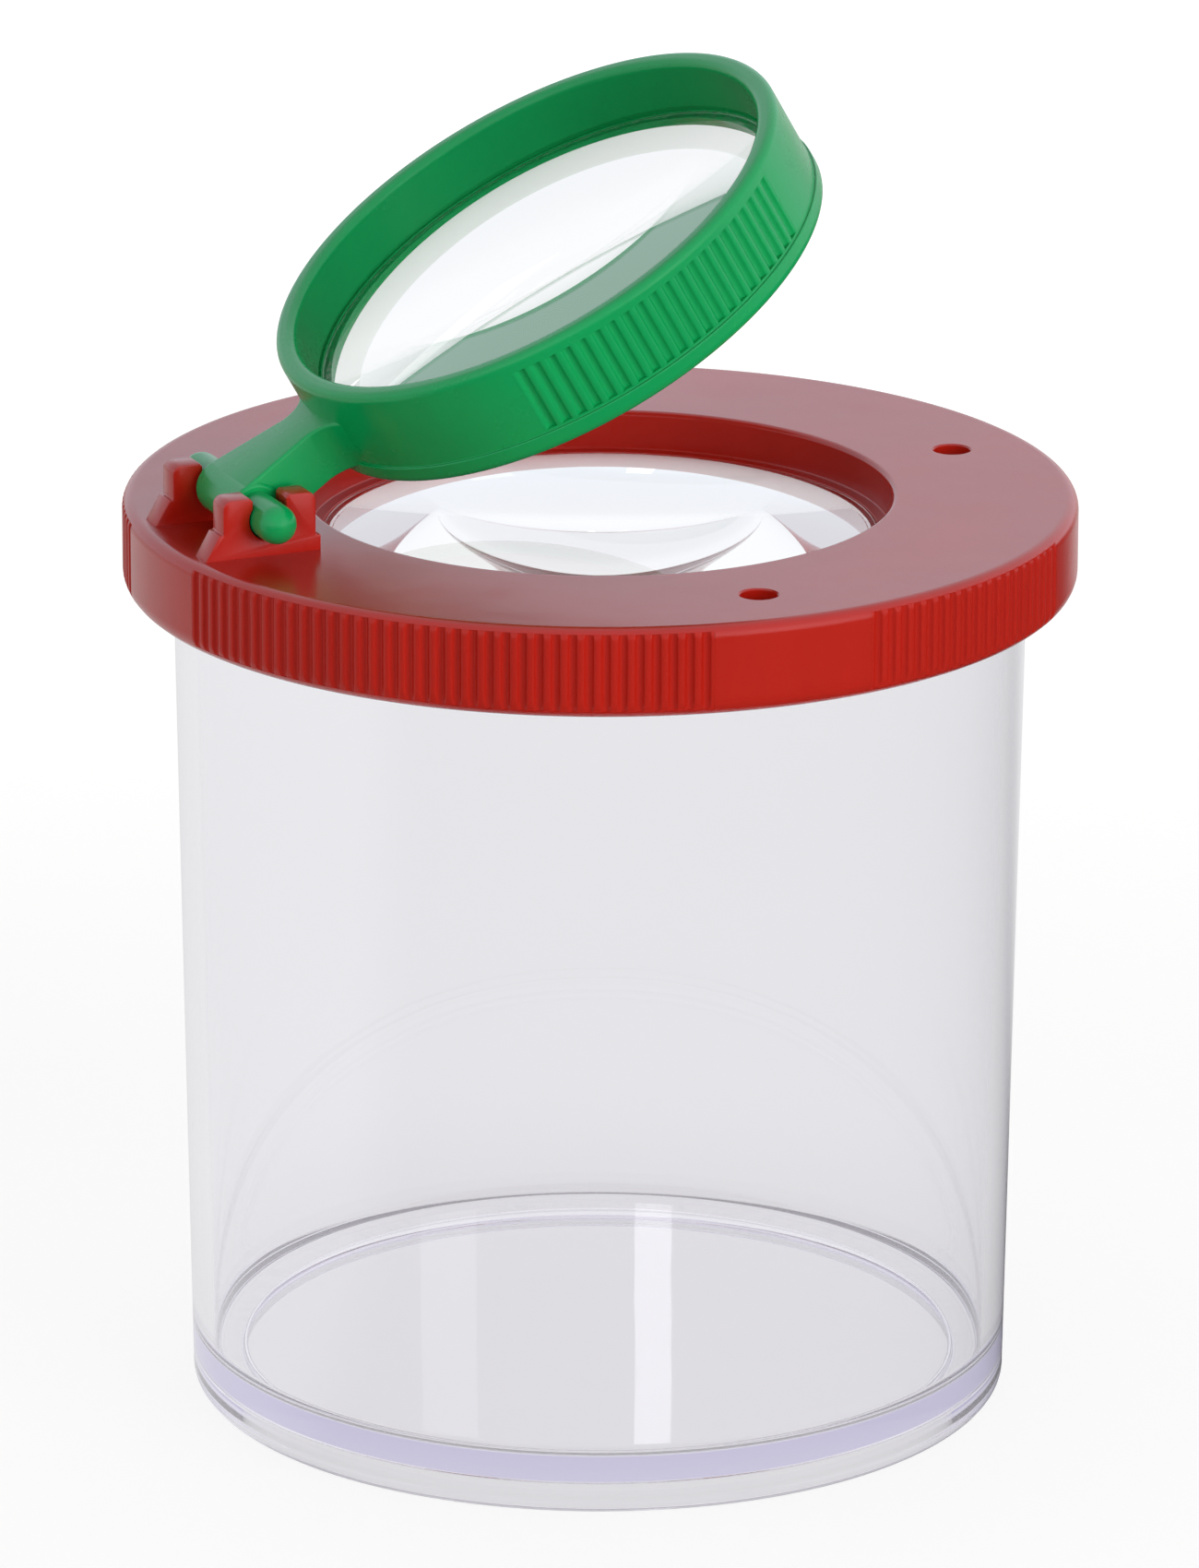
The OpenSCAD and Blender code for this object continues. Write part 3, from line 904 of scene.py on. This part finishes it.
class BUGJAR_OT_ring(bpy.types.Operator):
    """Turns the green ring, lays its grooves and fits its arm, barrel and cross pin"""

    bl_idname = "bugjar.ring"
    bl_label = "Green ring"

    def execute(self, context):
        scene = context.scene
        s, hinge = scene.bugjar_magnifier, scene.bugjar_hinge
        grip, cap = scene.bugjar_grip, scene.bugjar_cap
        material = moulded_plastic("green_plastic", scene.bugjar_colours.green, gloss=0.26, sheen_level=0.4)
        turn = hinge_turn(hinge, cap, s.open_angle)
        inner = s.ring_r - s.ring_wall
        low, top = s.ring_low, s.ring_low + s.ring_h
        seat = low + s.lip_h
        lens_top = seat + s.lens_t
        fine = 0.12 * MM
        outline = rounded([
            (s.flange_r, low, s.ring_round), (s.flange_r, low + s.flange_h, s.flange_round),
            (s.ring_r, low + s.flange_h, fine / 2), (s.ring_r, top, s.ring_round), (inner, top, s.ring_round),
            (inner, lens_top + s.snap_h, 0), (inner + s.snap_d, lens_top + s.snap_h, 0),
            (inner + s.snap_d, lens_top, 0), (inner, lens_top, 0), (inner, seat, 0),
            (inner - s.lip_w, seat, fine), (inner - s.lip_w, low, fine * 2),
        ], steps=8)
        z0, z1 = low + s.flange_h + grip.ring_low, top - grip.ring_top
        bed_r = s.ring_r - grip.groove_d - grip.bed
        ring = body_with_beds("ring", outline, s.ring_r, z0, z1, RING_SPANS, bed_r, material)
        band = grooved_band("ring_grip", outline, s.ring_r, z0, z1, RING_SPANS, grip, material)
        arm = self.arm(s, hinge, cap, material)
        for piece in (ring, band, arm):
            moved(piece, turn)
            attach(piece, "magnifier")
        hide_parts("magnifier_ring")
        return {"FINISHED"}

    def arm(self, s, hinge, cap, material):
        """The arm with its barrel and the cross pin with its domed ends."""
        sunk = 1 - 0.5 * MM / s.ring_r
        reach = s.ring_r + hinge.fillet
        centre_y = hinge.neck_w + hinge.fillet
        centre_x = -math.sqrt(reach ** 2 - centre_y ** 2)
        centre = Vector((centre_x, centre_y))
        touch = centre * (s.ring_r / reach)
        end = (touch - centre).normalized()
        sweep = math.acos(max(-1.0, min(1.0, -end.y)))
        fillet = []
        for k in range(FILLET_STEPS + 1):
            turn = sweep * k / FILLET_STEPS
            fillet.append((centre_x + hinge.fillet * math.sin(turn),
                           centre_y - hinge.fillet * math.cos(turn)))
        half = [(-hinge.x, hinge.arm_w), *fillet, (fillet[-1][0] * sunk, fillet[-1][1] * sunk)]
        outline = half + [(-s.ring_r * sunk, 0)] + [(x, -y) for x, y in reversed(half)]
        edge = hinge.edge * 2
        axis_z = cap.top + hinge.z
        plate = extruded("arm", outline, axis_z - hinge.barrel_r, axis_z + hinge.barrel_r, material)
        softened(plate, edge, segments=4)
        across = Matrix.Translation((-hinge.x, 0, axis_z)) @ Matrix.Rotation(math.pi / 2, 4, "X")
        barrel_outline = rounded([(0, -hinge.arm_w, 0), (hinge.barrel_r, -hinge.arm_w, edge),
                                  (hinge.barrel_r, hinge.arm_w, edge), (0, hinge.arm_w, 0)])
        barrel = moved(turned("barrel", barrel_outline, material, BARREL_STEPS), across)
        turns = [math.pi / 2 * k / DOME_STEPS for k in range(DOME_STEPS)]
        dome = [(hinge.pin_r * math.cos(turn), hinge.pin_reach + hinge.pin_r * math.sin(turn))
                for turn in turns] + [(0, hinge.pin_reach + hinge.pin_r)]
        pin_outline = [(r, -z) for r, z in reversed(dome)] + dome
        pin = moved(turned("pin", pin_outline, material, PIN_STEPS), across)
        arm = joined("arm_and_pin", [plate, barrel, pin])
        arm.data.set_sharp_from_angle(angle=math.radians(BEVEL_SHARP))
        return arm


class BUGJAR_OT_ring_lens(bpy.types.Operator):
    """Turns the stronger lens that sits in the green ring"""

    bl_idname = "bugjar.ring_lens"
    bl_label = "Ring lens"

    def execute(self, context):
        scene = context.scene
        s, lens = scene.bugjar_magnifier, scene.bugjar_lens
        top = s.ring_low + s.lip_h + s.lens_t
        outline = lens_outline(s.ring_r - s.ring_wall - lens.fit, s.lens_t, top, lens.ring_rise, lens.edge)
        material = lens_plastic(context, "ring_lens_plastic", scene.bugjar_colours.ring_lens_caught_glow)
        piece = turned("ring_lens", outline, material)
        moved(piece, hinge_turn(scene.bugjar_hinge, scene.bugjar_cap, s.open_angle))
        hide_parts("magnifier_lens")
        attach(piece, "magnifier")
        return {"FINISHED"}


class BUGJAR_OT_stage(bpy.types.Operator):
    """Sets the pale floor, the soft studio light and the camera"""

    bl_idname = "bugjar.stage"
    bl_label = "Studio"

    # Name, place, side and power of each soft box
    boxes = (("key", (0.35, -0.83, 0.3), 0.6, 4.8), ("fill", (-0.75, -0.5, 0.25), 0.7, 1.4),
             ("back", (0.35, 0.8, 0.35), 0.6, 1.4), ("top", (-0.1, 0.1, 1.0), 0.5, 0.5))
    # Name, place, width and power of each light strip, whose reflections stand in the cup's floor
    strips = (("bright_strip", (0.0852, 0.1811, 0.076), 0.0034, 2.4e-4),
              ("soft_strip", (0.0629, 0.1907, 0.076), 0.0056, 1.1e-4))
    strip_height = 0.032
    # Widths that a strip is laid in, one on another, so that it fades at its sides
    strip_shares = (0.5, 0.75, 1, 1.25)
    # Point that the lamps look at
    aim = (0, 0, 0.05)
    # Direction of the light side of the floor's painted reflection, which gloss mirrors
    toward = (-0.4, 0.917)
    # Half the side of the floor
    reach = 40.0

    def execute(self, context):
        scene = context.scene
        scene.view_settings.view_transform = "Standard"
        self.floor(scene)
        self.world(scene)
        for name, place, side, power in self.boxes:
            lamp = self.lamp(name, place, (side, side), power)
            lamp.visible_glossy = lamp.visible_transmission = False
        for name, place, width, power in self.strips:
            for step, share in enumerate(self.strip_shares):
                sides = (width * share, self.strip_height)
                lamp = self.lamp(f"{name}_{step}", place, sides, power * share)
                lamp.visible_camera = lamp.visible_diffuse = False
        self.camera(scene)
        return {"FINISHED"}

    def floor(self, scene):
        """A plain floor that shows white round the object and keeps its shadow, with a painted shade under
        the cup where it is seen through the plastic, and a painted reflection where gloss mirrors it.
        """
        mat = bpy.data.materials.new("studio_floor")
        sheet = Sheet(mat)
        matt = sheet.node("ShaderNodeBsdfDiffuse", {}, {"Color": whole(scene.bugjar_colours.floor)})
        away = sheet.node("ShaderNodeVectorMath", {"operation": "LENGTH"}, {0: sheet.place()}, out="Value")
        glow = sheet.mix(sheet.ramp(away, 0.06, 0.4), grey(1.5), grey(1.9))
        seen = sheet.blend(sheet.path("Is Camera Ray"), matt, sheet.blend(0.5, matt, sheet.glow(glow)))
        # Painted shade: seen through the plastic, the floor takes less of its white glow near the cup, so it
        # shows darker under and round it
        clear = 0.65 + sheet.ramp(away, 0.02, 0.07) * 0.15 + sheet.ramp(away, 0.15, 0.4) * 0.15
        passed = sheet.blend(clear, matt, sheet.glow(grey(1)))
        seen = sheet.blend(sheet.path("Is Transmission Ray"), seen, passed)
        # Painted reflection: where gloss mirrors the floor from outside the plastic, it gives off a glow,
        # dark towards the front and light towards the back
        parts = sheet.node("ShaderNodeSeparateXYZ", {}, {0: sheet.place()})
        along = parts * self.toward[0] + parts.sibling(1) * self.toward[1]
        floor_reflection_paint = sheet.mix(sheet.ramp(along / away, 0.0, 0.4), grey(0.06), grey(0.76))
        inside = sheet.path("Transmission Depth").above(0.5)
        shader = sheet.blend(sheet.mirror() * (1 - inside), seen, sheet.glow(floor_reflection_paint))
        sheet.finish("ShaderNodeOutputMaterial", shader)
        mesh = bpy.data.meshes.new("floor")
        corners = [(x * self.reach, y * self.reach, 0) for x, y in ((-1, -1), (1, -1), (1, 1), (-1, 1))]
        mesh.from_pydata(corners, [], [(0, 1, 2, 3)])
        mesh.materials.append(mat)
        floor = linked("floor", mesh)

    def world(self, scene):
        """White where it is seen, straight or in the plastic, and plain soft light otherwise."""
        world = bpy.data.worlds.new("studio")
        scene.world = world
        sheet = Sheet(world)
        direction = sheet.node("ShaderNodeTexCoord", out="Generated")
        height = sheet.node("ShaderNodeSeparateXYZ", {}, {0: direction}, out=2)
        soft = self.sky(sheet, grey(1), 0.56 - sheet.ramp(height, 0.35, 0.75) * 0.4)
        white = self.sky(sheet, (0.86, 0.95, 1.05), 1.15)
        seen = sheet.blend(sheet.path("Is Glossy Ray"), soft, white)
        plain = sheet.path("Is Camera Ray", "Is Transmission Ray")
        sheet.finish("ShaderNodeOutputWorld", sheet.blend(plain, seen, self.sky(sheet, grey(1), 1.0)))

    def sky(self, sheet, shade, strength):
        """Light from all round."""
        return sheet.node("ShaderNodeBackground", {}, {"Color": whole(shade), "Strength": strength})

    def lamp(self, name, place, sides, power):
        """A flat lamp that looks at the jar."""
        light = bpy.data.lights.new(name, "AREA")
        light.shape, light.energy = "RECTANGLE", power
        light.size, light.size_y = sides
        lamp = linked(name, light)
        lamp.location = place
        lamp.rotation_mode = "QUATERNION"
        lamp.rotation_quaternion = (Vector(self.aim) - Vector(place)).to_track_quat("-Z", "Y")
        return lamp

    def camera(self, scene):
        """The camera that took the photograph, solved from its ellipses."""
        lens = bpy.data.cameras.new("camera")
        lens.lens, lens.sensor_width = 250.747, 36
        lens.clip_start, lens.clip_end = 0.05, 100
        right = Vector((0.91839444, -0.39565672, 0.00272272))
        up = Vector((0.11854712, 0.28172258, 0.95214441))
        back = Vector((-0.37748939, -0.87412136, 0.30563642))
        place = Matrix.Translation((-0.31303825, -0.72487713, 0.30076552))
        camera = linked("camera", lens)
        camera.matrix_world = place @ Matrix((right, up, back)).transposed().to_4x4()
        scene.camera = camera


OPERATORS = (BUGJAR_OT_stage, BUGJAR_OT_cup, BUGJAR_OT_cap, BUGJAR_OT_brackets, BUGJAR_OT_cap_lens,
             BUGJAR_OT_ring, BUGJAR_OT_ring_lens)
GROUPS = (("cup", CupSizes), ("cap", CapSizes), ("magnifier", MagnifierSizes), ("hinge", HingeSizes),
          ("grip", GripSizes), ("lens", LensSizes), ("colours", JarColours))


class BUGJAR_PT_sidebar(bpy.types.Panel):
    """Lists the jar's pieces"""

    bl_idname = "BUGJAR_PT_sidebar"
    bl_label = "Bug catcher jar"
    bl_space_type = "VIEW_3D"
    bl_region_type = "UI"
    bl_category = "Bug Jar"

    def draw(self, context):
        for operator in OPERATORS:
            self.layout.operator(operator.bl_idname)
        for name, group in GROUPS:
            box = self.layout.box()
            box.label(text=group.__doc__)
            for key in group.__annotations__:
                box.prop(getattr(context.scene, "bugjar_" + name), key)


def register():
    """Adds the sizes, the operators and the panel to Blender."""
    for name, group in GROUPS:
        bpy.utils.register_class(group)
        setattr(bpy.types.Scene, "bugjar_" + name, PointerProperty(type=group))
    for operator in OPERATORS:
        bpy.utils.register_class(operator)
    bpy.utils.register_class(BUGJAR_PT_sidebar)


def unregister():
    """Takes them out again."""
    bpy.utils.unregister_class(BUGJAR_PT_sidebar)
    for operator in reversed(OPERATORS):
        bpy.utils.unregister_class(operator)
    for name, group in reversed(GROUPS):
        delattr(bpy.types.Scene, "bugjar_" + name)
        bpy.utils.unregister_class(group)


def main():
    """Builds the stage and every piece."""
    register()
    bpy.ops.bugjar.stage()
    bpy.ops.bugjar.cup()
    bpy.ops.bugjar.cap()
    bpy.ops.bugjar.brackets()
    bpy.ops.bugjar.cap_lens()
    bpy.ops.bugjar.ring()
    bpy.ops.bugjar.ring_lens()


if __name__ == "__main__":
    main()
